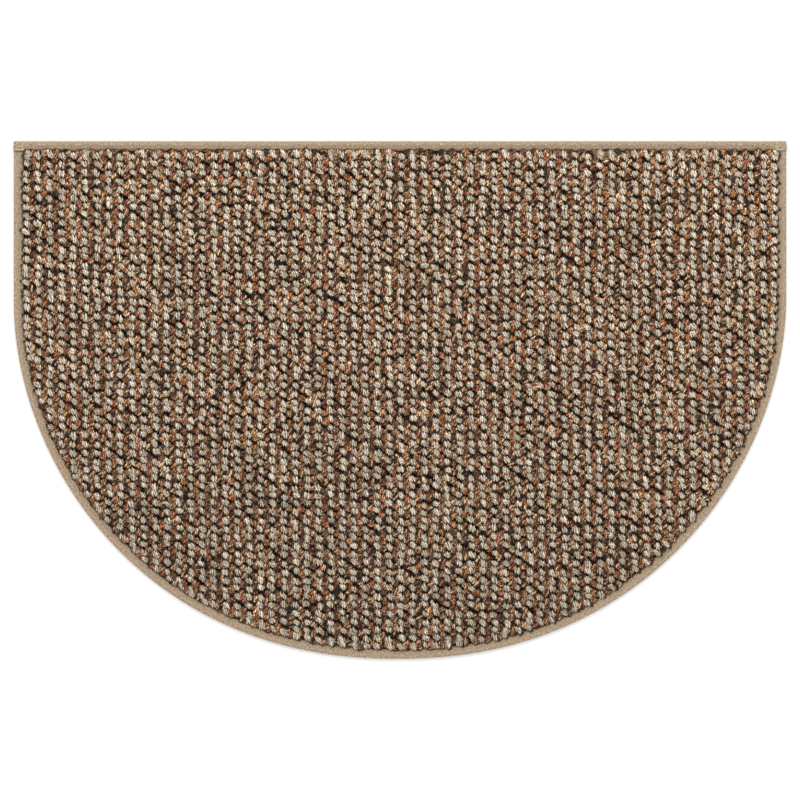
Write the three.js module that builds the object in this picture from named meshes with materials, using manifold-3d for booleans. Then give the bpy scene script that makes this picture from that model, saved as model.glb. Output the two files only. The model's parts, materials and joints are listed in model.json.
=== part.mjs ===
// Half round doormat: a loop pile carpet mat, its cut edge bound with woven tape.
// Millimetres, +Z up. The straight edge faces +Y, and the origin lies under the middle of the mat.

import * as THREE from "three";
import { mergeVertices } from "three/addons/utils/BufferGeometryUtils.js";
import Module from "manifold-3d";

const wasm = await Module();
wasm.setup();

// Outline, seen from above
const WIDTH = 900;
const DEPTH = 603;
const SIDE_RUN = 186; // straight part of each side, below the straight edge
const SIDE_POWER = 2.17; // a little over 2: the shoulders of the arc are slightly square
const ARC_POWER = 1.89; // a little under 2: the sides turn in early
const LEAN = 3.2; // the foot of the arc lies this far to the left of the middle
const ARC_STEPS = 64;

// Pile and backing
const RIB_COUNT = 65; // rows of tall loops, side by side across the width
const RIB_PITCH = 13.61;
const RIB_SHOULDER = 3.5; // half the width of a rib's rounded top
const CREST_HEIGHT = 11;
const SHOULDER_HEIGHT = 10.5;
const VALLEY_HEIGHT = 8.6;
const OVERHANG = 1.9; // the pile leans out this far over the tape's inner edge
const PILE_SWELL = 2.4; // width over which the pile rises to its full height there
const SWELL_HEIGHT = 9.6; // the pile stands up steeply to this height first
const RIM_RISE = 1.8; // width over which the backing lifts onto the tape folded under it

// Binding tape, folded round the edge
const TAPE = 1; // thickness
const GAP = 0.3; // room between two pieces that touch
const EDGE_HEIGHT = 7.5; // over the tape, at the mat's edge
const FACE_WIDTH = 11.3; // tape on the face, its inner edge under the pile
const UNDER_WIDTH = 12.5; // tape folded under
const STITCH_INSET = 7; // from the outer edge to the line of stitches
const STITCH_HALF_WIDTH = 0.8;
const STITCH_DEPTH = 0.4;
const LIP_DROP = 0.25; // the tape's cut lip turns down
const WRAP_STEPS = 6;

// Corners, where the straight edge's tape laps over the curved edge's tape
const LAP_HEIGHT = 7.8; // over both tapes, sewn flat
const LAP_RAMP = 8; // length over which the layers rise or sink to their level in the lap
const CURVE_TAPE_END = 4; // the lower tape stops this far short of the straight edge

const TOP = DEPTH / 2;
const SIDE = WIDTH / 2;
const ARC_DEPTH = DEPTH - SIDE_RUN;
const LAYER = TAPE + GAP;

/** Points of the arc from the left side's foot, round, to the right side's, each with its inward normal. */
function arcStations() {
  const pointAt = (turn) => {
    const across = Math.cos(turn);
    const down = Math.abs(Math.sin(turn)) ** (2 / ARC_POWER);
    const x = -Math.sign(across) * SIDE * Math.abs(across) ** (2 / SIDE_POWER) - LEAN * down;
    return new THREE.Vector2(x, TOP - SIDE_RUN - ARC_DEPTH * down);
  };
  const nudge = 1e-4;
  return Array.from({ length: ARC_STEPS + 1 }, (_, step) => {
    const turn = (Math.PI * step) / ARC_STEPS;
    const ahead = pointAt(Math.min(turn + nudge, Math.PI));
    const behind = pointAt(Math.max(turn - nudge, 0));
    const along = ahead.sub(behind).normalize();
    if (step === 0 || step === ARC_STEPS) along.set(0, step === 0 ? -1 : 1);
    return { point: pointAt(turn), inward: new THREE.Vector2(-along.y, along.x) };
  });
}

/**
 * A closed solid from rings with the same number of points, one after another, closed by two caps.
 * Seen from the last ring, the points run anticlockwise, as the cap's shape does.
 */
function loft(rings, capShape) {
  const count = rings[0].length;
  const positions = rings.flat(2);
  const triangles = [];
  for (let ring = 0; ring + 1 < rings.length; ring += 1) {
    for (let i = 0; i < count; i += 1) {
      const next = (i + 1) % count;
      const [a, b] = [ring * count + i, ring * count + next];
      const [c, d] = [a + count, b + count];
      triangles.push(a, b, d, a, d, c);
    }
  }
  const last = (rings.length - 1) * count;
  for (const [a, b, c] of THREE.ShapeUtils.triangulateShape(capShape, [])) {
    triangles.push(a, c, b, last + a, last + b, last + c);
  }
  const geometry = new THREE.BufferGeometry();
  geometry.setAttribute("position", new THREE.Float32BufferAttribute(positions, 3));
  geometry.setIndex(triangles);
  return geometry;
}

/** Half of a round wrap, from its underside at `low` to its top at `high`, with its outer side at `outer`. */
function wrapPoints(outer, low, high) {
  const radius = (high - low) / 2;
  return Array.from({ length: WRAP_STEPS + 1 }, (_, step) => {
    const turn = (Math.PI * step) / WRAP_STEPS;
    return [outer + radius - radius * Math.sin(turn), low + radius - radius * Math.cos(turn)];
  });
}

/** The tape's section as [inset from the outer edge, height], lying between the heights low and high. */
function tapeSection(low, high) {
  const outside = [
    [FACE_WIDTH, high - LIP_DROP],
    [STITCH_INSET + STITCH_HALF_WIDTH, high],
    [STITCH_INSET, high - STITCH_DEPTH],
    [STITCH_INSET - STITCH_HALF_WIDTH, high],
    ...wrapPoints(0, low, high).reverse(),
    [UNDER_WIDTH, low],
  ];
  const inside = [
    [UNDER_WIDTH, low + TAPE],
    ...wrapPoints(TAPE, low + TAPE, high - TAPE),
    [FACE_WIDTH, high - TAPE],
  ];
  return [...outside, ...inside];
}

/**
 * The carpet's section inside the tape, from its underside round its edge to above the pile. The rim is
 * pressed thin by the tape, and the pile stands up beside it and leans a little way over it.
 */
function rimSection(low, high) {
  const underFoot = UNDER_WIDTH + GAP;
  const faceFoot = FACE_WIDTH + GAP;
  const pileEdge = faceFoot - OVERHANG;
  return [
    [underFoot + RIM_RISE, 0],
    [underFoot, low + LAYER],
    ...wrapPoints(LAYER, low + LAYER, high - LAYER),
    [faceFoot, high - LAYER],
    [faceFoot, LAP_HEIGHT + GAP],
    [pileEdge, LAP_HEIGHT + GAP],
    [pileEdge + PILE_SWELL / 6, SWELL_HEIGHT],
    [pileEdge + PILE_SWELL, CREST_HEIGHT + TAPE],
  ];
}

/**
 * Stations round both sides and the arc, from one corner to the other, each with its point, inward normal
 * and the heights low and high between which the tape lies there. It lies over the straight edge's tape
 * at each corner, so it rises there and is pressed thinner. The first station is `down` from the corner.
 */
function curveStations(down) {
  const flat = { low: 0, high: EDGE_HEIGHT };
  const lapped = { low: LAYER, high: LAP_HEIGHT - LAYER };
  const lapFoot = UNDER_WIDTH + GAP;
  const sideRows = [
    { down, ...lapped },
    { down: lapFoot, ...lapped },
    { down: lapFoot + LAP_RAMP, ...flat },
  ];
  const onSide = (side) => (row) => ({
    ...row,
    point: new THREE.Vector2(side * SIDE, TOP - row.down),
    inward: new THREE.Vector2(-side, 0),
  });
  return [
    ...sideRows.map(onSide(-1)),
    ...arcStations().map((station) => ({ ...station, ...flat })),
    ...sideRows.map(onSide(1)).reverse(),
  ];
}

/** The point at an inset and a height, at a station. */
function placed({ point, inward }, [inset, height]) {
  return [point.x + inward.x * inset, point.y + inward.y * inset, height];
}

/** Tape swept along stations. */
function sweepTape(stations) {
  const sections = stations.map(({ low, high }) => tapeSection(low, high));
  const rings = stations.map((station, i) => sections[i].map((row) => placed(station, row)));
  return loft(rings, sections[0].map((row) => new THREE.Vector2(...row)));
}

/** Tape along the straight edge, raised over the other tape at both ends, which are closed at the edge. */
function straightTape() {
  const lapFoot = SIDE - FACE_WIDTH - GAP;
  const rows = [
    { x: SIDE, high: LAP_HEIGHT },
    { x: lapFoot, high: LAP_HEIGHT },
    { x: lapFoot - LAP_RAMP, high: EDGE_HEIGHT },
  ];
  const mirrored = rows.map(({ x, high }) => ({ x: -x, high })).reverse();
  const stations = [...rows, ...mirrored].map(({ x, high }) => ({
    point: new THREE.Vector2(x, TOP),
    inward: new THREE.Vector2(0, -1),
    low: 0,
    high,
  }));
  const plates = [-SIDE, SIDE - TAPE].map((x) => asSolid(endPlate(x)));
  return asGeometry(plates.reduce((tape, plate) => tape.add(plate), asSolid(sweepTape(stations))));
}

/** The tape's end, folded in: it closes the wrap from the outer edge to the end of the lower tape. */
function endPlate(x) {
  const reach = CURVE_TAPE_END - GAP;
  const wrap = wrapPoints(0, 0, LAP_HEIGHT);
  const [[farInset], [nearInset, nearHeight]] = wrap; // the plate's reach lies between these two
  const low = (nearHeight * (farInset - reach)) / (farInset - nearInset);
  const outline = [[reach, low], ...wrap.slice(1, -1), [reach, LAP_HEIGHT - low]];
  return alongX(outline, x, TAPE);
}

/** A section of [inset from the straight edge, height] made solid from x over a length along +X. */
function alongX(section, x, length) {
  const shape = new THREE.Shape(section.map(([inset, height]) => new THREE.Vector2(-inset, height)));
  const solid = new THREE.ExtrudeGeometry(shape, { depth: length, bevelEnabled: false });
  solid.rotateX(Math.PI / 2);
  solid.rotateZ(Math.PI / 2);
  solid.translate(x, TOP, 0);
  return solid;
}

/** Carpet: a ribbed slab of pile, cut to the curved edge's form and to the straight edge's. */
function carpet() {
  const slab = asSolid(ribbedSlab());
  return asGeometry(slab.intersect(asSolid(curvedForm())).intersect(asSolid(straightForm())));
}

/** Ribs of tall loops running from the straight edge to the arc, with low loops between them. */
function ribbedSlab() {
  const shape = new THREE.Shape();
  const [side, top] = [SIDE + TAPE, TOP + TAPE];
  shape.moveTo(-side, -TAPE);
  shape.lineTo(side, -TAPE);
  shape.lineTo(side, VALLEY_HEIGHT);
  for (let rib = RIB_COUNT - 1; rib >= 0; rib -= 1) {
    const middle = (rib - (RIB_COUNT - 1) / 2) * RIB_PITCH;
    shape.lineTo(middle + RIB_PITCH / 2, VALLEY_HEIGHT);
    shape.lineTo(middle + RIB_SHOULDER, SHOULDER_HEIGHT);
    shape.lineTo(middle, CREST_HEIGHT);
    shape.lineTo(middle - RIB_SHOULDER, SHOULDER_HEIGHT);
  }
  shape.lineTo((-RIB_COUNT / 2) * RIB_PITCH, VALLEY_HEIGHT);
  shape.lineTo(-side, VALLEY_HEIGHT);
  const slab = new THREE.ExtrudeGeometry(shape, { depth: 2 * top, bevelEnabled: false });
  slab.rotateX(Math.PI / 2);
  slab.translate(0, top, 0);
  return slab;
}

/** All that lies inside the tape round the sides and the arc, running out past the straight edge. */
function curvedForm() {
  const stations = curveStations(-TAPE);
  const sections = stations.map(({ low, high }) => rimSection(low, high));
  const rings = sections[0].map((_, row) =>
    stations.map((station, i) => placed(station, sections[i][row])),
  );
  return loft(rings, stations.map(({ point }) => point));
}

/** All that lies inside the tape along the straight edge, running out past the sides and the arc. */
function straightForm() {
  const rim = rimSection(0, EDGE_HEIGHT);
  const [top, past] = [CREST_HEIGHT + TAPE, DEPTH + TAPE];
  return alongX([...rim, [past, top], [past, 0]], -SIDE - TAPE, WIDTH + 2 * TAPE);
}

/** A geometry as a manifold solid. */
function asSolid(geometry) {
  const bare = geometry.clone();
  bare.deleteAttribute("normal");
  bare.deleteAttribute("uv");
  const merged = mergeVertices(bare, 1e-4);
  const mesh = new wasm.Mesh({
    numProp: 3,
    vertProperties: new Float32Array(merged.attributes.position.array),
    triVerts: new Uint32Array(merged.index.array),
  });
  return new wasm.Manifold(mesh);
}

/** A manifold solid as a geometry. */
function asGeometry(solid) {
  const mesh = solid.getMesh();
  const geometry = new THREE.BufferGeometry();
  geometry.setAttribute("position", new THREE.BufferAttribute(mesh.vertProperties, 3));
  geometry.setIndex(new THREE.BufferAttribute(mesh.triVerts, 1));
  return geometry;
}

const pile = new THREE.MeshStandardMaterial({ color: 0x816e5b, roughness: 0.95, metalness: 0 });
const tape = new THREE.MeshStandardMaterial({ color: 0xb29d84, roughness: 0.85, metalness: 0 });

const group = new THREE.Group();
const pieces = [
  ["carpet", carpet(), pile],
  ["binding_curve", sweepTape(curveStations(CURVE_TAPE_END)), tape],
  ["binding_straight", straightTape(), tape.clone()],
];
for (const [name, geometry, material] of pieces) {
  const mesh = new THREE.Mesh(geometry, material);
  mesh.name = name;
  group.add(mesh);
}

export default group;
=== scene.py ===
"""Half round doormat: loop pile carpet with a woven tape bound round its edge, seen from straight above."""

import json
import math

import bpy
import numpy as np
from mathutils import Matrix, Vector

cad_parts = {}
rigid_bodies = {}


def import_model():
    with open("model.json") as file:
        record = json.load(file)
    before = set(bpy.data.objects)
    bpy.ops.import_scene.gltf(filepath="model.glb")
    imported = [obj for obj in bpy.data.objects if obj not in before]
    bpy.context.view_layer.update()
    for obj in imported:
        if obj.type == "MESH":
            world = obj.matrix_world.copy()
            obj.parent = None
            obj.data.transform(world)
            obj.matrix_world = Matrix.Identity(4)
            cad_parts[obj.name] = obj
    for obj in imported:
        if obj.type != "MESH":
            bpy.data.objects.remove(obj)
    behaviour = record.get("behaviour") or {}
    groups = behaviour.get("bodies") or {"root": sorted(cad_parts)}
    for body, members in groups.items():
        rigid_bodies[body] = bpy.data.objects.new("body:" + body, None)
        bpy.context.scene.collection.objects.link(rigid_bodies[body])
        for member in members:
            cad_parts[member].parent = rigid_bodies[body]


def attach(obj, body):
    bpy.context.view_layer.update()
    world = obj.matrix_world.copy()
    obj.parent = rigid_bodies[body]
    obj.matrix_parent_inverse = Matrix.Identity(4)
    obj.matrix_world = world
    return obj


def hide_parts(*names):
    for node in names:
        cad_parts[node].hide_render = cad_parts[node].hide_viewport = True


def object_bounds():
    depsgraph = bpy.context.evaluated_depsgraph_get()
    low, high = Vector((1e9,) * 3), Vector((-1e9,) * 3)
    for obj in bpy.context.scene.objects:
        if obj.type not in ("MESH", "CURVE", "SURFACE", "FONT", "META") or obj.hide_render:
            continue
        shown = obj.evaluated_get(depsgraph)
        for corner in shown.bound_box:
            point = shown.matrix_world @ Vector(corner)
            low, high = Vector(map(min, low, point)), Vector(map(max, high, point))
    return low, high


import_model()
cad_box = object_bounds()

# Backing. The carpet's woven base, cut to the half round outline, with the feet of the pile on top of it,
# painted near black as shade.
# Its rim is pressed thin between the two layers of the folded tape, and its underside is plain jute
# coloured cloth that lies on the floor.

millimetre = 0.001
(left, foot, _), (right, top, _) = (list(corner) for corner in cad_box)
side = (right - left) / 2
depth = top - foot
side_run = 186 * millimetre
arc_depth = depth - side_run
side_power = 2.17
arc_power = 1.89
lean = 3.2 * millimetre
arc_steps = 240

tape_thickness = 1.0 * millimetre
layer = 1.3 * millimetre  # the tape and the room it needs
edge_height = 7.5 * millimetre
face_width = 11.3 * millimetre
under_width = 12.5 * millimetre
under_reach = under_width + layer - tape_thickness
under_slope = 1.8 * millimetre
pile_foot = 5.0 * millimetre
pile_slope = 2.0 * millimetre
corner_press = 0.62  # the share of the backing's height that is left at the two corners
corner_reach = 60 * millimetre

# How far the tape's face lies below its crown, by the inset from the mat's edge, both in millimetres. It
# dips at the line of stitches.
face_dips = [
    (4.4, 0.05), (5.3, 0.30), (6.1, 0.75), (6.7, 1.25), (7.0, 1.35), (7.4, 1.25), (8.2, 1.10), (9.2, 1.60),
    (11.3, 2.90),
]
face_dips = [(inset * millimetre, dip * millimetre) for inset, dip in face_dips]


def arc_point(turn):
    """A point of the arc, from its left end at turn 0 to its right end at turn pi."""
    across = math.cos(turn)
    down = abs(math.sin(turn)) ** (2 / arc_power)
    x = -math.copysign(side * abs(across) ** (2 / side_power), across) - lean * down
    return np.array([x, top - side_run - arc_depth * down])


def arc_stations():
    """Points of the arc, each with its inward normal."""
    nudge = 1e-4
    stations = []
    for step in range(arc_steps + 1):
        turn = math.pi * step / arc_steps
        along = arc_point(min(turn + nudge, math.pi)) - arc_point(max(turn - nudge, 0))
        along /= np.linalg.norm(along)
        if step in (0, arc_steps):
            along = np.array([0.0, -1.0 if step == 0 else 1.0])
        stations.append((arc_point(turn), np.array([-along[1], along[0]])))
    return stations


def inset_outline(inset):
    """The mat's outline drawn in by an inset, anticlockwise from the top left corner."""
    far_side, far_top = side - inset, top - inset
    arc = [point + inward * inset for point, inward in arc_stations()]
    return [
        np.array([-far_side, far_top]), np.array([-far_side, top - corner_reach]),
        *arc,
        np.array([far_side, top - corner_reach]), np.array([far_side, far_top]),
        np.array([side - corner_reach, far_top]), np.array([corner_reach - side, far_top]),
    ]


def wrap_rows(outer, low, high, steps):
    """Half of a round wrap as (inset, height) rows, from its underside to its top."""
    radius = (high - low) / 2
    turns = [math.pi * step / steps for step in range(steps + 1)]
    return [(outer + radius - radius * math.sin(t), low + radius - radius * math.cos(t)) for t in turns]


def new_piece(name, vertices, faces):
    """A mesh object of its own, with smooth faces."""
    mesh = bpy.data.meshes.new(name)
    mesh.from_pydata([tuple(v) for v in vertices], [], faces)
    mesh.validate()
    mesh.shade_smooth()
    piece = bpy.data.objects.new(name, mesh)
    bpy.context.collection.objects.link(piece)
    return piece


def srgb(red, green, blue):
    """A linear colour from one given in 0 to 255."""
    def channel(value):
        value /= 255
        return value / 12.92 if value <= 0.04045 else ((value + 0.055) / 1.055) ** 2.4
    return channel(red), channel(green), channel(blue)


def new_material(name, roughness, sheen=0.0):
    """A matt material with its shader, ready for nodes."""
    material = bpy.data.materials.new(name)
    material.use_nodes = True
    shader = material.node_tree.nodes["Principled BSDF"]
    shader.inputs["Roughness"].default_value = roughness
    shader.inputs["Specular IOR Level"].default_value = 0.2
    shader.inputs["Sheen Weight"].default_value = sheen
    shader.inputs["Sheen Roughness"].default_value = 0.5
    return material, shader


def add_node(tree, kind, inputs=(), **settings):
    """A node with its settings. An input, by name or number, is a value or another node's output."""
    node = tree.nodes.new(kind)
    for key, value in settings.items():
        setattr(node, key, value)
    for key, value in dict(inputs).items():
        if isinstance(value, bpy.types.NodeSocket):
            tree.links.new(value, node.inputs[key])
        else:
            node.inputs[key].default_value = value
    return node


def maths(tree, operation, *values):
    """The result of a maths node on values or other nodes' outputs."""
    return add_node(tree, "ShaderNodeMath", dict(enumerate(values)), operation=operation).outputs[0]


def remapped(tree, value, low, high, new_low, new_high, **settings):
    """A value taken from one range to another."""
    return add_node(tree, "ShaderNodeMapRange", {
        "Value": value, "From Min": low, "From Max": high, "To Min": new_low, "To Max": new_high,
    }, **settings).outputs["Result"]


def coloured(tree, value, stops, interpolation="LINEAR"):
    """A ramp's colour for a value, from (place, colour) rows."""
    ramp = add_node(tree, "ShaderNodeValToRGB", {"Fac": value})
    elements = ramp.color_ramp.elements
    ramp.color_ramp.interpolation = interpolation
    while len(elements) < len(stops):
        elements.new(1.0)
    for element, (place, colour) in zip(elements, stops):
        element.position = place
        element.color = (*colour, 1.0)
    return ramp.outputs["Color"]


def backing_piece():
    """The backing as rings of its outline, from its underside round to its top, thinner at the corners."""
    edge_rows = [
        (under_reach + under_slope, 0.0),
        (under_reach, layer),
        *wrap_rows(layer, layer, edge_height - layer, 8),
        *[(inset, edge_height - layer - dip) for inset, dip in face_dips],
        (face_width + pile_slope, pile_foot),
    ]
    vertices = []
    for inset, height in edge_rows:
        ring = [(x, y, height) for x, y in inset_outline(inset)]
        if height != pile_foot:
            for corner in (0, len(ring) - 3):
                x, y, _ = ring[corner]
                ring[corner] = (x, y, height * corner_press)
        vertices += ring
    count = len(ring)
    faces = [tuple(reversed(range(count)))]
    for ring in range(len(edge_rows) - 1):
        for i in range(count):
            a, b = ring * count + i, ring * count + (i + 1) % count
            faces.append((a, b, b + count, a + count))
    faces.append(tuple(range((len(edge_rows) - 1) * count, len(edge_rows) * count)))
    return new_piece("backing", vertices, faces)


def backing_cloth_material():
    """Plain open weave in pale jute yarn."""
    material, shader = new_material("backing cloth", 0.95)
    tree = material.node_tree
    place = add_node(tree, "ShaderNodeTexCoord").outputs["Object"]
    warp, weft = (
        add_node(tree, "ShaderNodeTexWave", {
            "Vector": place, "Scale": scale, "Distortion": 0.6, "Detail": 2.0}, bands_direction=direction)
        for direction, scale in (("X", 160.0), ("Y", 120.0))
    )
    weave = maths(tree, "MAXIMUM", warp.outputs["Fac"], weft.outputs["Fac"])
    colour = coloured(tree, weave, [(0.2, srgb(112, 92, 68)), (0.9, srgb(176, 156, 124))])
    bump = add_node(tree, "ShaderNodeBump", {
        "Height": weave, "Strength": 0.5, "Distance": 0.4 * millimetre})
    tree.links.new(colour, shader.inputs["Base Color"])
    tree.links.new(bump.outputs["Normal"], shader.inputs["Normal"])
    return material


def pile_foot_shade_material():
    """The feet of the yarns between the loops, in the same colours but painted close to black as the shade
    deep between the loops.
    """
    material, shader = new_material("pile foot", 1.0)
    tree = material.node_tree
    place = add_node(tree, "ShaderNodeTexCoord").outputs["Object"]
    yarns = add_node(tree, "ShaderNodeTexVoronoi", {"Vector": place, "Scale": 420.0}, feature="F1")
    hue = add_node(tree, "ShaderNodeSeparateXYZ", {0: yarns.outputs["Color"]}).outputs["X"]
    colour = coloured(tree, hue, [
        (0.0, srgb(34, 17, 8)), (0.4, srgb(84, 54, 36)), (0.6, srgb(40, 24, 15)), (0.8, srgb(104, 74, 52)),
        (0.9, srgb(32, 29, 27)),
    ])
    # Painted shade: each yarn's foot darkens towards its edge.
    shade = remapped(tree, yarns.outputs["Distance"], 0.2, 0.75, 1.0, 0.15)
    colour = add_node(tree, "ShaderNodeVectorMath", {0: colour, "Scale": shade}, operation="SCALE").outputs[0]
    tree.links.new(colour, shader.inputs["Base Color"])
    return material


backing = backing_piece()
backing.data.materials.append(backing_cloth_material())
backing.data.materials.append(pile_foot_shade_material())
for polygon in backing.data.polygons:
    polygon.material_index = 1 if polygon.normal.z > 0.5 else 0
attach(backing, "root")
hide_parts("carpet")

# Loops. Plied yarn tufted through the backing: rows of tall greige loops lean one way, and between them
# stand lower loops of mixed rust, brown, tan and charcoal plies that lean the other way, so that the two
# kinds make slanting bands. Where the tape holds the rim down, the loops are pushed in and crowd over it.

column_pitch = 13.61 * millimetre
row_pitch = 9.85 * millimetre
columns_in_bands = (22, 21, 22)
row_count = 62
first_row = 8.3 * millimetre
low_loop_lag = 4.4 * millimetre
pile_shift = 1.1 * millimetre
field_inset = 8.0 * millimetre
outline_height = 0.1  # the outline that bounds the loops is held well above them


def yarn_loop(name, rng, plies, rings, width, half_length, height, slant, shear, tangle):
    """One loop: plies of yarn side by side, arched from foot to foot and tangled a little."""
    corners = 3
    spread = math.radians(100)
    vertices, faces, uvs = [], [], []
    spacing = width / plies
    for ply in range(plies):
        out = (ply - (plies - 1) / 2) / ((plies - 1) / 2)  # -1 to 1 across the loop
        offset = out * spacing * (plies - 1) / 2 + rng.uniform(-0.15, 0.15) * spacing
        reach = half_length * (1 - 0.25 * out * out) * rng.uniform(0.88, 1.12)
        rise = height * (1 - 0.22 * out * out) * rng.uniform(0.94, 1.06)
        thick = 0.77 * spacing * rng.uniform(0.85, 1.15)
        yaw = slant * rng.uniform(0.5, 1.5) + rng.uniform(-tangle, tangle) * reach
        slide = shear * offset + rng.uniform(-0.12, 0.12) * half_length
        first = len(vertices)
        for ring in range(rings + 1):
            share = 2 * ring / rings - 1
            angle = spread * share
            upwards = np.array([0.0, math.sin(angle), math.cos(angle)])
            middle = np.array([
                offset + yaw * share,
                slide + reach * math.copysign(abs(math.sin(angle)) ** 0.85, angle),
                rise * math.copysign(abs(math.cos(angle)) ** 0.75, math.cos(angle)),
            ])
            taper = 0.55 + 0.45 * math.sqrt(max(math.cos(angle), 0.0))
            wide = np.array([thick * taper * rng.uniform(0.82, 1.18), 0.0, 0.0])
            crest = thick * (0.25 + 0.75 * math.cos(angle) ** 2)
            vertices += [middle - wide - 0.3 * crest * upwards, middle + crest * upwards,
                         middle + wide - 0.3 * crest * upwards]
        for ring in range(rings):
            for corner in range(corners):
                a = first + ring * corners + corner
                b = first + ring * corners + (corner + 1) % corners
                faces.append((a, a + corners, b + corners, b))
                u, next_u = corner / 2, (corner + 1) / 2 if corner < 2 else 0.0
                v, next_v = ring / rings, (ring + 1) / rings
                uvs += [(u, v), (u, next_v), (next_u, next_v), (next_u, v)]
        last = first + rings * corners
        faces += [(first, first + 1, first + 2), (last + 2, last + 1, last)]
        uvs += [(0.0, 0.0)] * 6
    mesh = bpy.data.meshes.new(name)
    mesh.from_pydata(vertices, [], faces)
    mesh.shade_smooth()
    of_ply = mesh.attributes.new("ply", "FLOAT", "FACE")
    of_ply.data.foreach_set("value", [float(i // (rings * corners + 2)) for i in range(len(faces))])
    mesh.uv_layers.new(name="yarn").data.foreach_set("uv", [value for uv in uvs for value in uv])
    spots = [(vertices[i][0] * 2 / width, vertices[i][1] / half_length) for face in faces for i in face]
    mesh.uv_layers.new(name="loop").data.foreach_set("uv", [value for spot in spots for value in spot])
    return bpy.data.objects.new(name, mesh)


def loop_kinds(name, count, seed, plies, **sizes):
    """A collection of loops of one kind, in turn of each number of plies, all laid a little differently."""
    rng = np.random.default_rng(seed)
    kinds = bpy.data.collections.new(name)
    for number in range(count):
        kinds.objects.link(yarn_loop(f"{name} {number}", rng, plies[number % len(plies)], **sizes))
    return kinds


def geometry_tree(name, inputs):
    """An empty Geometry Nodes tree with named inputs, given as name: socket type."""
    tree = bpy.data.node_groups.new(name, "GeometryNodeTree")
    tree.interface.new_socket("Geometry", in_out="INPUT", socket_type="NodeSocketGeometry")
    tree.interface.new_socket("Geometry", in_out="OUTPUT", socket_type="NodeSocketGeometry")
    for key, kind in inputs.items():
        tree.interface.new_socket(key, in_out="INPUT", socket_type=kind)
    return tree, tree.nodes.new("NodeGroupInput").outputs, tree.nodes.new("NodeGroupOutput")


def vector_maths(tree, operation, *values, scale=None):
    """The result of a vector maths node on values or other nodes' outputs."""
    inputs = dict(enumerate(values))
    if scale is not None:
        inputs["Scale"] = scale
    node = add_node(tree, "ShaderNodeVectorMath", inputs, operation=operation)
    return node.outputs["Value" if operation == "LENGTH" else "Vector"]


def random_number(tree, kind, low, high, seed):
    """A random float, whole number or vector for each point. Each kind has sockets of its own."""
    first, out = {"FLOAT_VECTOR": (0, 0), "FLOAT": (2, 1), "INT": (4, 2)}[kind]
    node = add_node(tree, "FunctionNodeRandomValue", {first: low, first + 1: high, "Seed": seed},
                    data_type=kind)
    return node.outputs[out]


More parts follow.
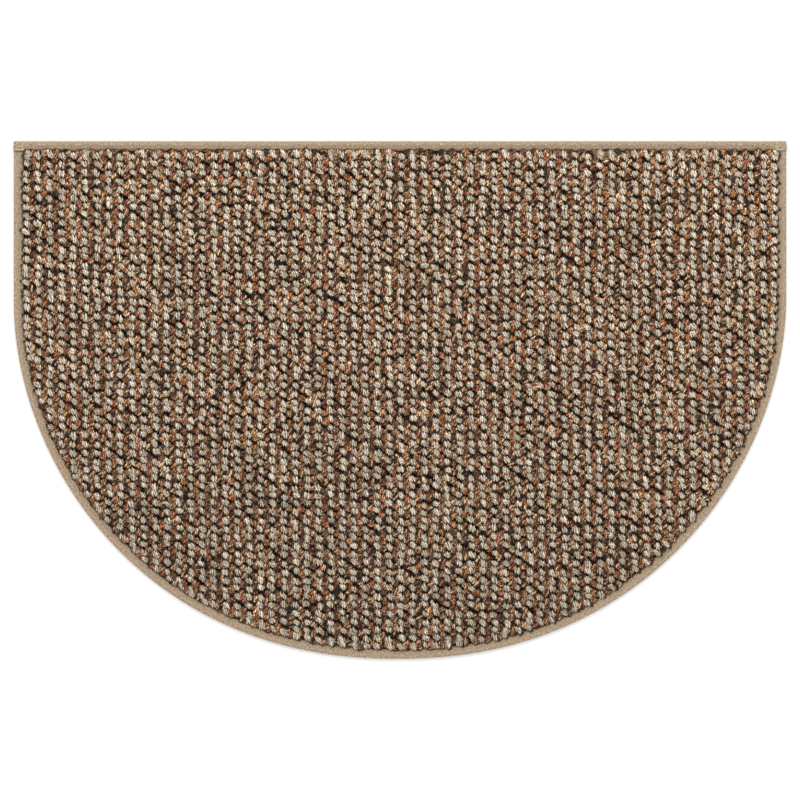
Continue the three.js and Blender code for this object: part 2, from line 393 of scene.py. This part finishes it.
def rows_of_loops_tree():
    """Rows of loops on a field: a grid of points inside the outline, each given one of the loop kinds."""
    tree, given, result = geometry_tree("rows of loops", {
        "Kinds": "NodeSocketCollection",
        "Kind count": "NodeSocketInt",
        "Material": "NodeSocketMaterial",
        "Columns": "NodeSocketInt",
        "Rows": "NodeSocketInt",
        "Column pitch": "NodeSocketFloat",
        "Row pitch": "NodeSocketFloat",
        "Middle": "NodeSocketVector",
        "Stray": "NodeSocketVector",
        "Drift": "NodeSocketFloat",
        "Lie": "NodeSocketVector",
        "Turn": "NodeSocketVector",
        "Size spread": "NodeSocketVector",
        "Rim room": "NodeSocketFloat",
        "Rim push": "NodeSocketFloat",
        "Rim size": "NodeSocketFloat",
        "Seed": "NodeSocketInt",
    })

    def seed(number):
        return maths(tree, "ADD", given["Seed"], float(number))

    def spread(vector, number):
        return random_number(tree, "FLOAT_VECTOR", vector_maths(tree, "SCALE", vector, scale=-1.0), vector,
                             seed(number))

    column_gaps, row_gaps = (maths(tree, "SUBTRACT", given[count], 1.0) for count in ("Columns", "Rows"))
    grid = add_node(tree, "GeometryNodeMeshGrid", {
        "Size X": maths(tree, "MULTIPLY", given["Column pitch"], column_gaps),
        "Size Y": maths(tree, "MULTIPLY", given["Row pitch"], row_gaps),
        "Vertices X": given["Columns"],
        "Vertices Y": given["Rows"],
    })
    placed = add_node(tree, "GeometryNodeSetPosition", {
        "Geometry": grid.outputs["Mesh"], "Offset": given["Middle"]})
    place = add_node(tree, "GeometryNodeInputPosition").outputs[0]
    drift = add_node(tree, "ShaderNodeTexNoise", {"Vector": place, "Scale": 14.0, "Detail": 2.0})
    drift = vector_maths(tree, "SUBTRACT", drift.outputs["Color"], (0.5, 0.5, 0.5))
    drift = vector_maths(tree, "MULTIPLY", drift, (0.4, 1.0, 0.0))
    drift = vector_maths(tree, "SCALE", drift, scale=given["Drift"])
    strayed = add_node(tree, "GeometryNodeSetPosition", {
        "Geometry": placed.outputs[0], "Offset": vector_maths(tree, "ADD", drift, spread(given["Stray"], 0))})

    above = add_node(tree, "GeometryNodeRaycast", {
        "Target Geometry": given["Geometry"], "Ray Direction": (0.0, 0.0, 1.0), "Ray Length": 1.0})
    outside = add_node(tree, "FunctionNodeBooleanMath", {0: above.outputs["Is Hit"]}, operation="NOT")
    kept = add_node(tree, "GeometryNodeDeleteGeometry", {
        "Geometry": strayed.outputs[0], "Selection": outside.outputs[0]}, domain="POINT")

    level = vector_maths(tree, "MULTIPLY", place, (1.0, 1.0, 0.0))
    rim = add_node(tree, "GeometryNodeProximity", {
        0: given["Geometry"], "Sample Position": vector_maths(tree, "ADD", level, (0.0, 0.0, outline_height)),
    }, target_element="EDGES")
    away = vector_maths(tree, "SUBTRACT", place, rim.outputs["Position"])
    away = vector_maths(tree, "NORMALIZE", vector_maths(tree, "MULTIPLY", away, (1.0, 1.0, 0.0)))
    short = maths(tree, "MAXIMUM", maths(tree, "SUBTRACT", given["Rim room"], rim.outputs["Distance"]), 0.0)
    pushed = add_node(tree, "GeometryNodeSetPosition", {
        "Geometry": kept.outputs[0],
        "Offset": vector_maths(tree, "SCALE", away, scale=maths(tree, "MULTIPLY", short, given["Rim push"])),
    })

    size = vector_maths(tree, "ADD", spread(given["Size spread"], 1), (1.0, 1.0, 1.0))
    rim_size = remapped(tree, rim.outputs["Distance"], 0.0, given["Rim room"], given["Rim size"], 1.0)
    kinds = add_node(tree, "GeometryNodeCollectionInfo", {
        "Collection": given["Kinds"], "Separate Children": True, "Reset Children": True})
    last_kind = maths(tree, "SUBTRACT", given["Kind count"], 1.0)
    loops = add_node(tree, "GeometryNodeInstanceOnPoints", {
        "Points": pushed.outputs[0],
        "Instance": kinds.outputs[0],
        "Pick Instance": True,
        "Instance Index": random_number(tree, "INT", 0, last_kind, seed(3)),
        "Rotation": vector_maths(tree, "ADD", given["Lie"], spread(given["Turn"], 2)),
        "Scale": vector_maths(tree, "SCALE", size, scale=rim_size),
    })
    dyed = add_node(tree, "GeometryNodeStoreNamedAttribute", {
        "Geometry": loops.outputs[0], "Name": "dye"}, data_type="FLOAT", domain="INSTANCE")
    value_slot = next(s for s in dyed.inputs if s.name == "Value" and s.enabled)
    tree.links.new(random_number(tree, "FLOAT", 0.0, 1.0, seed(4)), value_slot)
    real = add_node(tree, "GeometryNodeRealizeInstances", {"Geometry": dyed.outputs[0]})
    done = add_node(tree, "GeometryNodeSetMaterial", {
        "Geometry": real.outputs[0], "Material": given["Material"]})
    tree.links.new(done.outputs[0], result.inputs[0])
    return tree


def run_tree(piece, tree, values):
    """Puts a tree on a piece with its inputs set, and leaves the plain mesh that it makes."""
    modifier = piece.modifiers.new(tree.name, "NODES")
    modifier.node_group = tree
    sockets = {item.name: item.identifier for item in tree.interface.items_tree if item.in_out == "INPUT"}
    for name, value in values.items():
        modifier[sockets[name]] = value
    graph = bpy.context.evaluated_depsgraph_get()
    made = bpy.data.meshes.new_from_object(piece.evaluated_get(graph), preserve_all_data_layers=True,
                                           depsgraph=graph)
    piece.modifiers.clear()
    piece.data = made
    made.name = piece.name
    return piece


def yarn_material(name, stops, interpolation, tint, changes, painted_side_dark, streak_dark, twist_dark, rim):
    """Matt yarn: each ply has a tone of its own, or changes along it, with painted shade down both its sides
    and towards each loop's rim.
    """
    material, shader = new_material(name, 0.95, sheen=0.05)
    tree = material.node_tree
    dye = add_node(tree, "ShaderNodeAttribute", attribute_name="dye").outputs["Fac"]
    ply = add_node(tree, "ShaderNodeAttribute", attribute_name="ply").outputs["Fac"]
    pair = add_node(tree, "ShaderNodeCombineXYZ", {"X": dye, "Y": ply}).outputs[0]
    chance = add_node(tree, "ShaderNodeTexWhiteNoise", {"Vector": pair}, noise_dimensions="2D")

    around = add_node(tree, "ShaderNodeUVMap", uv_map="yarn").outputs["UV"]
    around_parts = add_node(tree, "ShaderNodeSeparateXYZ", {0: around}).outputs
    stretch = maths(tree, "FLOOR", maths(tree, "MULTIPLY_ADD", around_parts["Y"], changes,
                                         chance.outputs["Value"]))
    triple = add_node(tree, "ShaderNodeCombineXYZ", {"X": dye, "Y": ply, "Z": stretch}).outputs[0]
    pick = add_node(tree, "ShaderNodeTexWhiteNoise", {"Vector": triple}, noise_dimensions="3D")
    base = coloured(tree, pick.outputs["Value"], stops, interpolation)

    # Painted shade: each ply is darker down both its sides, where the plies meet, and each loop darkens to a
    # dark outline at its rim.
    from_crest = maths(tree, "ABSOLUTE", maths(tree, "SUBTRACT", around_parts["X"], 0.5))
    painted_side_shade = remapped(tree, from_crest, 0.22, 0.46, 1.05, painted_side_dark, interpolation_type="SMOOTHSTEP")
    spot = add_node(tree, "ShaderNodeUVMap", uv_map="loop").outputs["UV"]
    painted_rim_shade = remapped(tree, vector_maths(tree, "LENGTH", spot), rim - 0.5, rim, 1.05, 0.1,
                         interpolation_type="SMOOTHSTEP")
    shift = vector_maths(tree, "SCALE", (37.0, 53.0, 71.0), scale=chance.outputs["Value"])
    streak_place = vector_maths(tree, "ADD", vector_maths(tree, "MULTIPLY", around, (2.0, 5.0, 0.0)), shift)
    streaks = add_node(tree, "ShaderNodeTexNoise", {"Vector": streak_place, "Scale": 1.0, "Detail": 2.0})
    streak_shade = remapped(tree, streaks.outputs["Fac"], 0.40, 0.57, streak_dark, 1.22)
    fibres = add_node(tree, "ShaderNodeTexNoise", {
        "Vector": vector_maths(tree, "ADD", vector_maths(tree, "SCALE", around, scale=14.0), shift),
        "Scale": 1.0, "Detail": 2.0})
    turns = maths(tree, "MULTIPLY_ADD", around_parts["Y"], 5.0,
                  maths(tree, "MULTIPLY", around_parts["X"], 1.6))
    turns = maths(tree, "ADD", turns, maths(tree, "MULTIPLY", fibres.outputs["Fac"], 0.8))
    strands = maths(tree, "SINE", maths(tree, "MULTIPLY", turns, 2 * math.pi))
    fibre_shade = remapped(tree, strands, -1.0, 1.0, twist_dark, 1.2)
    place = add_node(tree, "ShaderNodeTexCoord").outputs["Object"]
    mottle = add_node(tree, "ShaderNodeTexNoise", {
        "Vector": place, "Scale": 520.0, "Detail": 3.0, "Roughness": 0.7})
    mottle_shade = remapped(tree, mottle.outputs["Fac"], 0.35, 0.65, 0.64, 1.34)
    patches = add_node(tree, "ShaderNodeTexNoise", {"Vector": place, "Scale": 28.0, "Detail": 2.0})
    patch_shade = remapped(tree, patches.outputs["Fac"], 0.3, 0.7, 0.91, 1.09)
    columns = add_node(tree, "ShaderNodeTexNoise", {
        "Vector": vector_maths(tree, "MULTIPLY", place, (73.5, 3.0, 0.0)), "Scale": 1.0, "Detail": 1.0})
    column_shade = remapped(tree, columns.outputs["Fac"], 0.3, 0.7, 0.93, 1.07)
    # The pile is a little darker towards the arc.
    up_mat = add_node(tree, "ShaderNodeSeparateXYZ", {0: place}).outputs["Y"]
    darker_towards_arc = remapped(tree, up_mat, -0.26, 0.2, 0.84, 1.0)

    painted_depth_shade = maths(tree, "MULTIPLY", painted_side_shade, painted_rim_shade)
    shade = painted_depth_shade
    for other in (streak_shade, fibre_shade, mottle_shade, patch_shade, column_shade, darker_towards_arc):
        shade = maths(tree, "MULTIPLY", shade, other)
    # Painted shadow colour: the deeper the painted shade, the redder and warmer the yarn's colour.
    painted_shadow_warmth = add_node(tree, "ShaderNodeCombineXYZ", {
        "X": 1.0, "Y": maths(tree, "POWER", painted_depth_shade, 0.24), "Z": maths(tree, "POWER", painted_depth_shade, 0.55)})
    hue = vector_maths(tree, "SUBTRACT", streaks.outputs["Color"], (0.5, 0.5, 0.5))
    hue = vector_maths(tree, "ADD", vector_maths(tree, "SCALE", hue, scale=tint), (1.0, 1.0, 1.0))
    hue = vector_maths(tree, "MULTIPLY", hue, painted_shadow_warmth.outputs[0])
    colour = vector_maths(tree, "SCALE", vector_maths(tree, "MULTIPLY", base, hue), scale=shade)
    tree.links.new(colour, shader.inputs["Base Color"])
    bump = add_node(tree, "ShaderNodeBump", {
        "Height": maths(tree, "MULTIPLY", fibre_shade, streak_shade), "Strength": 0.6,
        "Distance": 0.3 * millimetre})
    tree.links.new(bump.outputs["Normal"], shader.inputs["Normal"])
    return material


greige_yarn = yarn_material("greige yarn", [
    (0.0, srgb(202, 187, 164)),
    (0.35, srgb(226, 211, 188)),
    (0.6, srgb(186, 169, 145)),
    (0.85, srgb(230, 218, 198)),
], "LINEAR", tint=0.4, changes=0.0, painted_side_dark=0.2, streak_dark=0.6, twist_dark=0.6, rim=1.13)
mixed_yarn = yarn_material("mixed yarn", [
    (0.0, srgb(200, 117, 72)),
    (0.12, srgb(170, 116, 80)),
    (0.34, srgb(240, 202, 158)),
    (0.50, srgb(98, 68, 48)),
    (0.64, srgb(216, 168, 122)),
    (0.84, srgb(40, 39, 38)),
], "CONSTANT", tint=0.5, changes=3.4, painted_side_dark=0.02, streak_dark=0.34, twist_dark=0.3, rim=1.16)

tall_kinds = loop_kinds(
    "tall loop", 14, 11, plies=(5, 4, 5), rings=5, width=9.2 * millimetre, half_length=5.4 * millimetre,
    height=5.0 * millimetre, slant=-0.3 * millimetre, shear=-0.65, tangle=0.35)
low_kinds = loop_kinds(
    "low loop", 14, 12, plies=(4, 3), rings=5, width=9.8 * millimetre, half_length=5.0 * millimetre,
    height=4.7 * millimetre, slant=0.5 * millimetre, shear=0.0, tangle=0.3)

pile_field = [(x, y, outline_height) for x, y in inset_outline(field_inset)]
loops_tree = rows_of_loops_tree()
top_row = top - first_row - (row_count - 1) / 2 * row_pitch
first_column = 0
loop_pieces = []
for band, columns in enumerate(columns_in_bands, 1):
    middle_column = first_column + (columns - 1) / 2 - (sum(columns_in_bands) - 1) / 2
    first_column += columns
    # The sidestep is in columns, and the lie of the loops and its spread, turn, are in radians.
    for name, kinds, yarn, sidestep, lag, lie, turn, seed in (
        ("tall_loops", tall_kinds, greige_yarn, 0.0, 0.0, 0.35, 0.3, 0),
        ("low_loops", low_kinds, mixed_yarn, 0.5, low_loop_lag, -0.60, 0.5, 50),
    ):
        piece = new_piece(f"{name}_{band}", pile_field, [tuple(range(len(pile_field)))])
        loop_pieces.append(run_tree(piece, loops_tree, {
            "Kinds": kinds,
            "Kind count": len(kinds.objects),
            "Material": yarn,
            "Columns": columns,
            "Rows": row_count,
            "Column pitch": column_pitch,
            "Row pitch": row_pitch,
            "Middle": ((middle_column + sidestep) * column_pitch + pile_shift, top_row - lag, pile_foot),
            "Stray": (1.4 * millimetre, 1.8 * millimetre, 0.4 * millimetre),
            "Drift": 7.0 * millimetre,
            "Lie": (0.0, 0.0, lie),
            "Turn": (0.15, 0.15, turn),
            "Size spread": (0.13, 0.13, 0.06),
            "Rim room": 6.6 * millimetre,
            "Rim push": 0.9,
            "Rim size": 0.8,
            "Seed": 100 * band + seed,
        }))
for piece in loop_pieces:
    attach(piece, "root")
    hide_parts("carpet")

# Binding tape. One length of tan woven tape goes round both sides and the arc, folded over the cut edge
# and sewn through. A second one runs along the straight edge, and its ends lap over the first at the
# corners. The line of stitches near the inner edge pulls both layers down.

lap_height = 8.6 * millimetre
lap_ramp = 8 * millimetre
under_ramp = 3 * millimetre
lip_round = 0.3 * millimetre
stitch_inset = 7.0 * millimetre
under_dip = 0.35 * millimetre
under_dip_half = 0.6 * millimetre


def tape_section(low, high, sag):
    """The tape's section as (inset, height) rows. Sag is the share of the full dip at the stitches."""
    dips = [(inset, dip * sag) for inset, dip in face_dips]
    lip_inset, lip_dip = dips[-1]
    outside = [
        (lip_inset, high - lip_dip - lip_round),
        (lip_inset - lip_round, high - lip_dip),
        *[(inset, high - dip) for inset, dip in reversed(dips[:-1])],
        *reversed(wrap_rows(0.0, low, high, 14)),
        (stitch_inset - under_dip_half, low),
        (stitch_inset, low + under_dip),
        (stitch_inset + under_dip_half, low),
        (under_width, low),
    ]
    inside = [
        (under_width, low + tape_thickness),
        *wrap_rows(tape_thickness, low + tape_thickness, high - tape_thickness, 8),
        *[(inset, high - tape_thickness - dip) for inset, dip in dips],
    ]
    return [*outside, *inside]


def sweep_tape(name, stations):
    """Tape swept along stations of (point, inward normal, low, high, sag), with a UV map in metres."""
    sections = [tape_section(low, high, sag) for _, _, low, high, sag in stations]
    count = len(sections[0])
    vertices, run = [], [0.0]
    for (point, inward, *_), section in zip(stations, sections):
        vertices += [(*(point + inward * inset), height) for inset, height in section]
    for (here, *_), (there, *_) in zip(stations, stations[1:]):
        run.append(run[-1] + float(np.linalg.norm(there - here)))
    girth = [0.0]
    for (a, b), (c, d) in zip(sections[-1], sections[-1][1:] + sections[-1][:1]):
        girth.append(girth[-1] + math.hypot(c - a, d - b))
    faces, uvs = [], []
    for ring in range(len(stations) - 1):
        for i in range(count):
            a, b = ring * count + i, ring * count + (i + 1) % count
            faces.append((a, b, b + count, a + count))
            uvs += [(run[ring], girth[i]), (run[ring], girth[i + 1]),
                    (run[ring + 1], girth[i + 1]), (run[ring + 1], girth[i])]
    last = (len(stations) - 1) * count
    faces += [tuple(reversed(range(count))), tuple(range(last, last + count))]
    uvs += [(0.0, height) for _, height in reversed(sections[0])]
    uvs += [(run[-1], height) for _, height in sections[-1]]
    piece = new_piece(name, vertices, faces)
    piece.data.uv_layers.new(name="tape").data.foreach_set("uv", [value for uv in uvs for value in uv])
    return piece


def side_stations(sign, corner_sinks):
    """Stations down one side. At the corner the other tape lifts its underside and draws its face down."""
    downs, sinks = zip(*[(down * millimetre, sink * millimetre) for down, sink in corner_sinks])
    stations = []
    for down in (*downs, *np.linspace(downs[-1] + lap_ramp, side_run - 5 * millimetre, 16)):
        share = min(max((down - under_reach) / under_ramp, 0.0), 1.0)
        share = share * share * (3 - 2 * share)
        high = edge_height - float(np.interp(down, downs, sinks))
        stations.append((np.array([sign * side, top - down]), np.array([-sign, 0.0]),
                         layer * (1 - share), high, share))
    return stations


def tape_material():
    """Fine twill tape: ribs across its length, with threads that vary a little in tan, and painted shade
    along its inner edge.
    """
    material, shader = new_material("binding tape", 0.9, sheen=0.05)
    tree = material.node_tree
    place = add_node(tree, "ShaderNodeUVMap", uv_map="tape").outputs["UV"]
    warp, weft = (
        add_node(tree, "ShaderNodeTexWave", {
            "Vector": place, "Scale": scale, "Distortion": 1.0, "Detail": 2.0, "Detail Scale": 1.5,
        }, bands_direction=direction).outputs["Fac"]
        for direction, scale in (("Y", 480.0), ("X", 600.0))
    )
    slubs_along, slubs_across = (
        add_node(tree, "ShaderNodeTexNoise", {
            "Vector": vector_maths(tree, "MULTIPLY", place, scales), "Scale": 1.0, "Detail": 2.0,
            "Roughness": 0.6}).outputs["Fac"]
        for scales in ((320.0, 950.0, 0.0), (950.0, 320.0, 0.0))
    )
    slubs = maths(tree, "MULTIPLY", maths(tree, "ADD", slubs_along, slubs_across), 0.5)
    weave = maths(tree, "MULTIPLY", warp, weft)
    colour = coloured(tree, slubs, [
        (0.37, srgb(130, 110, 88)), (0.5, srgb(168, 147, 122)), (0.63, srgb(207, 185, 157))])
    colour = vector_maths(tree, "SCALE", colour, scale=remapped(tree, weave, 0.0, 1.0, 0.88, 1.12))
    # Painted shade: the tape is darker along its inner edge beside the pile, where the pile shades it, less
    # so towards the arc.
    from_lip = add_node(tree, "ShaderNodeSeparateXYZ", {0: place}).outputs["Y"]
    on_mat = add_node(tree, "ShaderNodeTexCoord").outputs["Object"]
    up_mat = add_node(tree, "ShaderNodeSeparateXYZ", {0: on_mat}).outputs["Y"]
    painted_lip_shade = remapped(tree, up_mat, -0.25, 0.1, 1.0, 0.9)
    colour = vector_maths(tree, "SCALE", colour, scale=remapped(
        tree, from_lip, 4.0 * millimetre, 5.5 * millimetre, painted_lip_shade, 1.0))
    bump = add_node(tree, "ShaderNodeBump", {
        "Height": weave, "Strength": 0.5, "Distance": 0.2 * millimetre})
    tree.links.new(colour, shader.inputs["Base Color"])
    tree.links.new(bump.outputs["Normal"], shader.inputs["Normal"])
    return material


tan_tape = tape_material()
# How far the side tapes' faces lie below their usual height, by the distance down from the corner, both in
# millimetres. The left one is drawn into a crease where the other tape's edge crosses it.
left_sinks = [(2.8, 1.7), (11.3, 1.7), (11.6, 3.0), (12.3, 3.0), (12.9, 1.6), (14.5, 1.2), (17.0, 0.6),
              (21.0, 0.0)]
right_sinks = [(2.8, 1.2), (11.3, 1.2), (12.9, 1.0), (14.5, 0.8), (17.0, 0.4), (21.0, 0.0)]
curve_stations = [
    *side_stations(-1, left_sinks),
    *[(point, inward, 0.0, edge_height, 1.0) for point, inward in arc_stations()],
    *reversed(side_stations(1, right_sinks)),
]
binding_curve = sweep_tape("curved_binding", curve_stations)

lap_inner = side - face_width - layer + tape_thickness
straight_xs = [*(side - inset * millimetre for inset in (0.0, 0.4, 1.0, 2.0)), lap_inner,
               *np.linspace(lap_inner - lap_ramp / 5, lap_inner - lap_ramp, 5),
               *np.linspace(lap_inner - 3 * lap_ramp, 0.0, 24)]
straight_xs += [-x for x in reversed(straight_xs[:-1])]
straight_stations = []
for x in straight_xs:
    share = min(max((lap_inner - abs(x)) / lap_ramp, 0.0), 1.0)
    high = lap_height + (edge_height - lap_height) * share
    straight_stations.append((np.array([x, top]), np.array([0.0, -1.0]), 0.0, high, 0.15 + 0.85 * share))
binding_straight = sweep_tape("straight_binding", straight_stations)

# Stitches. Tan thread sewn through the tape and the carpet in one line along the whole edge, on the face
# and on the underside. At each corner a few paler stitches hold the lap of the two tapes.

stitch_pitch = 3.2 * millimetre
stitch_length = 2.7 * millimetre
thread_radius = 0.32 * millimetre


def stitch_shape(name, way):
    """One stitch along X, a short arch of thread with its ends in the tape. Way is 1 up or -1 down."""
    rings, points = 4, 4
    vertices, faces = [], []
    for ring in range(rings + 1):
        share = ring / rings
        x = (share - 0.5) * stitch_length
        rise = way * thread_radius * (2.2 * math.sin(math.pi * share) - 1.2)
        girth = thread_radius * (0.75 + 0.25 * math.sin(math.pi * share))
        for point in range(points):
            turn = 2 * math.pi * point / points
            vertices.append((x, girth * math.cos(turn), rise + girth * math.sin(turn)))
    for ring in range(rings):
        for point in range(points):
            a, b = ring * points + point, ring * points + (point + 1) % points
            faces.append((a, b, b + points, a + points))
    faces += [tuple(reversed(range(points))), tuple(range(rings * points, (rings + 1) * points))]
    mesh = bpy.data.meshes.new(name)
    mesh.from_pydata(vertices, [], faces)
    mesh.shade_smooth()
    return bpy.data.objects.new(name, mesh)


def line_of_stitches_tree():
    """Stitches at an even pitch along the piece's edges."""
    tree, given, result = geometry_tree("line of stitches", {
        "Stitch": "NodeSocketObject",
        "Material": "NodeSocketMaterial",
        "Pitch": "NodeSocketFloat",
        "Stray": "NodeSocketVector",
        "Seed": "NodeSocketInt",
    })
    line = add_node(tree, "GeometryNodeMeshToCurve", {"Mesh": given["Geometry"]})
    spaced = add_node(tree, "GeometryNodeResampleCurve", {
        "Curve": line.outputs[0], "Length": given["Pitch"]}, mode="LENGTH")
    along = add_node(tree, "GeometryNodeInputTangent").outputs[0]
    facing = add_node(tree, "FunctionNodeAlignRotationToVector", {"Vector": along}, axis="X")
    shape = add_node(tree, "GeometryNodeObjectInfo", {"Object": given["Stitch"]})
    stray = random_number(tree, "FLOAT_VECTOR", vector_maths(tree, "SCALE", given["Stray"], scale=-1.0),
                          given["Stray"], given["Seed"])
    moved = add_node(tree, "GeometryNodeSetPosition", {"Geometry": spaced.outputs[0], "Offset": stray})
    sewn = add_node(tree, "GeometryNodeInstanceOnPoints", {
        "Points": moved.outputs[0],
        "Instance": shape.outputs["Geometry"],
        "Rotation": facing.outputs[0],
    })
    real = add_node(tree, "GeometryNodeRealizeInstances", {"Geometry": sewn.outputs[0]})
    done = add_node(tree, "GeometryNodeSetMaterial", {
        "Geometry": real.outputs[0], "Material": given["Material"]})
    tree.links.new(done.outputs[0], result.inputs[0])
    return tree


def thread_material(name, colour):
    """Matt spun thread in one colour."""
    material, shader = new_material(name, 0.8)
    tree = material.node_tree
    place = add_node(tree, "ShaderNodeTexCoord").outputs["Object"]
    noise = add_node(tree, "ShaderNodeTexNoise", {"Vector": place, "Scale": 900.0, "Detail": 2.0})
    shade = remapped(tree, noise.outputs["Fac"], 0.3, 0.7, 0.88, 1.12)
    tree.links.new(vector_maths(tree, "SCALE", colour, scale=shade), shader.inputs["Base Color"])
    return material


def stitched(name, lines, shape, material, pitch, seed):
    """Stitches along lines of points, as a piece of its own."""
    vertices = [tuple(point) for line in lines for point in line]
    edges, first = [], 0
    for line in lines:
        edges += [(i, i + 1) for i in range(first, first + len(line) - 1)]
        first += len(line)
    mesh = bpy.data.meshes.new(name)
    mesh.from_pydata(vertices, edges, [])
    piece = bpy.data.objects.new(name, mesh)
    bpy.context.collection.objects.link(piece)
    return run_tree(piece, stitches_tree, {
        "Stitch": shape,
        "Material": material,
        "Pitch": pitch,
        "Stray": (0.15 * millimetre, 0.15 * millimetre, 0.05 * millimetre),
        "Seed": seed,
    })


def sewn_line(stations, on_face):
    """The line of stitches along a tape's stations, on its face or its underside."""
    full_dip = dict(face_dips)[stitch_inset]
    line = []
    for point, inward, low, high, sag in stations:
        height = high - full_dip * sag if on_face else low + under_dip
        line.append((*(point + inward * stitch_inset), height))
    return line


def lap_face(x, down):
    """A point on the lap's face, at a distance down in millimetres from the straight edge."""
    radius = lap_height / 2
    sink = radius - math.sqrt(radius ** 2 - max(radius - down * millimetre, 0.0) ** 2)
    return (x, top - down * millimetre, lap_height - 0.1 * millimetre - sink)


stitches_tree = line_of_stitches_tree()
face_stitch, under_stitch = stitch_shape("face stitch", 1), stitch_shape("under stitch", -1)
tan_thread = thread_material("tan thread", srgb(190, 168, 140))
pale_thread = thread_material("pale thread", srgb(238, 222, 196))
# Both lines are sewn as far as the laps, and the straight one is sewn towards the right.
sewn_curve = [station for station in curve_stations if top - station[0][1] > under_reach]
sewn_straight = straight_stations[-5:3:-1]
face_line = stitched("face_stitches", [
    sewn_line(sewn_curve, True), sewn_line(sewn_straight, True),
], face_stitch, tan_thread, stitch_pitch, 1)
under_line = stitched("under_stitches", [
    sewn_line(sewn_curve, False), sewn_line(sewn_straight, False),
], under_stitch, tan_thread, stitch_pitch, 2)

# Each lap's seam, as its inset from the mat's side by the distance down from the straight edge, and the two
# dashes across the lap's lower edge, as spans of inset. All are in millimetres.
seam_downs = (0.7, 1.6, 2.8, 4.2, 6.0, 9.3)
left_seam = (12.3, 11.8, 11.3, 10.9, 10.5, 10.4)
right_seam = (11.5, 11.45, 11.35, 11.3, 11.2, 11.0)
lap_dashes = ((2.8, 5.6), (8.0, 10.4))
dash_down = 10.0
seam_pitch = 2.4 * millimetre
seam_lines, lap_lines = [], []
for sign, insets in ((-1, left_seam), (1, right_seam)):
    seam_lines.append([lap_face(sign * (side - u * millimetre), down) for u, down in zip(insets, seam_downs)])
    lap_lines += [
        sorted(lap_face(sign * (side - u * millimetre), dash_down) for u in dash) for dash in lap_dashes
    ]
seam_stitches = stitched("seam_stitches", seam_lines, face_stitch, pale_thread, seam_pitch, 3)
lap_stitches = stitched("lap_stitches", lap_lines, face_stitch, pale_thread, stitch_pitch, 4)

curve_length = 1.62  # metres
straight_length = 0.9
for piece, node, length, sewn_with in (
    (binding_curve, "binding_curve", curve_length, [face_line, under_line]),
    (binding_straight, "binding_straight", straight_length, [seam_stitches, lap_stitches]),
):
    piece.data.materials.append(tan_tape)
    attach(piece, "root")
    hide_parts(node)
for piece in (face_line, under_line, seam_stitches, lap_stitches):
    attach(piece, "root")

# Floor, light and camera. A plain white floor and soft light from all round, a little stronger from
# beyond the straight edge, with the camera straight above as in the photograph.

view_width = 0.9329
camera_height = 5.0
sensor = 36.0

floor = new_piece("floor", [(-20, -20, 0), (20, -20, 0), (20, 20, 0), (-20, 20, 0)], [(0, 1, 2, 3)])
floor_material, floor_shader = new_material("white floor", 0.9)
floor_shader.inputs["Base Color"].default_value = (0.96, 0.96, 0.96, 1.0)
floor.data.materials.append(floor_material)

world = bpy.data.worlds.new("studio")
bpy.context.scene.world = world
world.use_nodes = True
world.node_tree.nodes["Background"].inputs["Color"].default_value = (1.0, 1.0, 1.0, 1.0)
world.node_tree.nodes["Background"].inputs["Strength"].default_value = 0.9


def soft_light(name, place, size, power):
    """A square soft light that faces the mat."""
    light = bpy.data.lights.new(name, "AREA")
    light.size = size
    light.energy = power
    lamp = bpy.data.objects.new(name, light)
    lamp.location = place
    reach = math.hypot(place[0], place[1])
    lamp.rotation_euler = (math.atan2(reach, place[2]), 0.0, math.atan2(place[0], -place[1]))
    bpy.context.collection.objects.link(lamp)


soft_light("key light", (-0.3, 2.2, 3.2), 3.0, 66.0)
soft_light("fill light", (1.2, -1.0, 2.8), 2.4, 9.0)

camera_data = bpy.data.cameras.new("camera")
camera_data.sensor_width = sensor
camera_data.lens = sensor * camera_height / view_width
camera_data.clip_end = 100.0
camera = bpy.data.objects.new("camera", camera_data)
camera.location = (0.0, 0.0, camera_height)
bpy.context.collection.objects.link(camera)
bpy.context.scene.camera = camera
bpy.context.scene.view_settings.view_transform = "Standard"
